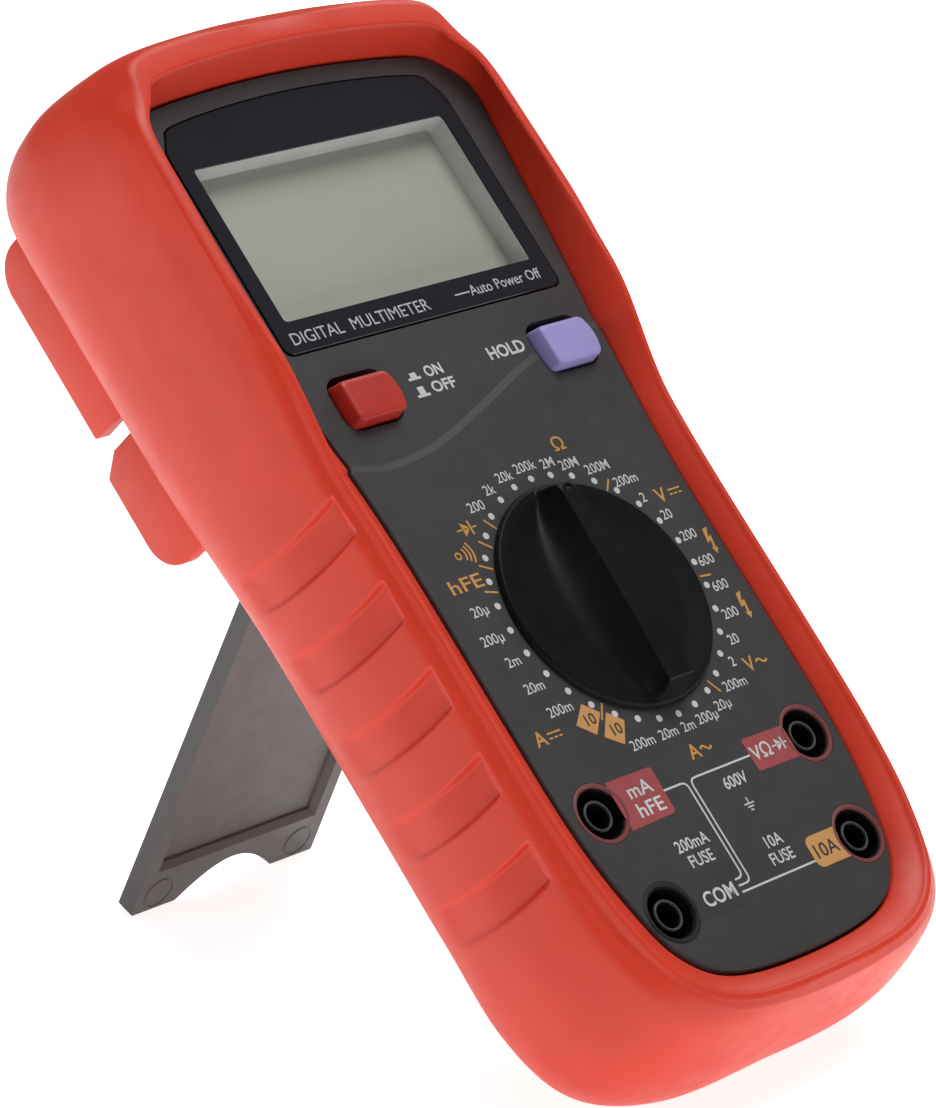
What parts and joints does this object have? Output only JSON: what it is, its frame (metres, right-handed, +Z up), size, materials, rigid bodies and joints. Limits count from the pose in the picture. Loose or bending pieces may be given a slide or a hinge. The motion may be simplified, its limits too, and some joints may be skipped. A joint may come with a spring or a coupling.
{
  "type": "bench multimeter",
  "caption": "Digital multimeter with a rotary range selector, display and banana jacks, in a rubber holster with a tilt stand and probe clips.",
  "frame": {"origin": "middle of the object's box, on the surface it rests on", "axes": "+Z up, +X to the right as one reads the face, -Y towards the reader; the meter leans back on its stand"},
  "size_m": [0.0942, 0.159, 0.1655],
  "materials": {
    "holster_red": "soft satin coral rubber with a fine moulded grain",
    "case_grey": "fine-textured dark grey ABS",
    "knob_black": "satin black plastic",
    "lens_clear": "clear polished acrylic with a dark printed border",
    "lcd_green": "matt grey-green liquid crystal glass",
    "frame_grey": "light grey plastic",
    "rubber_black": "matt black",
    "board_green": "solder-masked glass fibre board",
    "power_red": "satin moulded",
    "hold_lavender": "satin moulded",
    "jack_red": "satin moulded",
    "jack_black": "satin moulded",
    "brass": "bright drawn brass",
    "steel": "zinc-plated steel",
    "glass": "clear fuse tube with plated caps",
    "switch_white": "unpainted plastic",
    "battery_wrap": "printed metal can",
    "lead_red": "insulated wire",
    "stand_brown": "satin grey-brown ABS"
  },
  "bodies": {
    "meter": {"battery_9v": "battery_wrap", "battery_cover": "case_grey", "battery_cover_screw": "steel", "battery_lead_black": "rubber_black", "battery_lead_red": "lead_red", "battery_snap": "rubber_black", "board_screw_1": "steel", "board_screw_2": "steel", "board_screw_3": "steel", "board_screw_4": "steel", "case_screw_1": "steel", "case_screw_2": "steel", "case_screw_3": "steel", "case_screw_4": "steel", "display_lens": "lens_clear", "front_case": "case_grey", "fuse_milliamp": "glass", "fuse_milliamp_clip_1": "brass", "fuse_milliamp_clip_2": "brass", "fuse_ten_amp": "glass", "fuse_ten_amp_clip_1": "brass", "fuse_ten_amp_clip_2": "brass", "hold_switch": "switch_white", "holster": "holster_red", "jack_contact_common": "brass", "jack_contact_milliamp": "brass", "jack_contact_ten_amp": "brass", "jack_contact_volt_ohm": "brass", "jack_sleeve_common": "jack_black", "jack_sleeve_milliamp": "jack_red", "jack_sleeve_ten_amp": "jack_red", "jack_sleeve_volt_ohm": "jack_red", "lcd_frame": "frame_grey", "lcd_glass": "lcd_green", "main_board": "board_green", "measuring_chip": "rubber_black", "piezo_buzzer": "brass", "power_switch": "switch_white", "rear_case": "case_grey", "shunt_wire": "brass", "trimmer_1": "battery_wrap", "trimmer_2": "battery_wrap", "zebra_strip_lower": "rubber_black", "zebra_strip_upper": "rubber_black"},
    "stand": {"tilt_stand": "stand_brown"},
    "selector": {"selector_knob": "knob_black", "selector_rotor": "switch_white", "contact_wiper_1": "brass", "contact_wiper_2": "brass", "contact_wiper_3": "brass", "detent_ball_1": "steel", "detent_ball_2": "steel", "detent_spring_1": "steel", "detent_spring_2": "steel"},
    "power_button": {"power_button": "power_red", "power_plunger": "switch_white"},
    "hold_button": {"hold_button": "hold_lavender", "hold_plunger": "switch_white"}
  },
  "joints": [
    {"name": "stand_hinge", "type": "hinge", "parent": "meter", "child": "stand", "pos_m": [0, 0.02993, 0.08038], "axis": [1, 0, 0], "range_deg": [-69.5, 0]},
    {"name": "selector_turn", "type": "hinge", "parent": "meter", "child": "selector", "pos_m": [0.001, -0.02643, 0.07678], "axis": [0, -0.7254, 0.6884], "continuous": true},
    {"name": "power_press", "type": "slide", "parent": "meter", "child": "power_button", "axis": [0, -0.7254, 0.6884], "range_m": [-0.0025, 0], "stiffness_N_per_m": 300, "springref_m": 0.0015},
    {"name": "hold_press", "type": "slide", "parent": "meter", "child": "hold_button", "axis": [0, -0.7254, 0.6884], "range_m": [-0.0025, 0], "stiffness_N_per_m": 300, "springref_m": 0.0015}
  ]
}
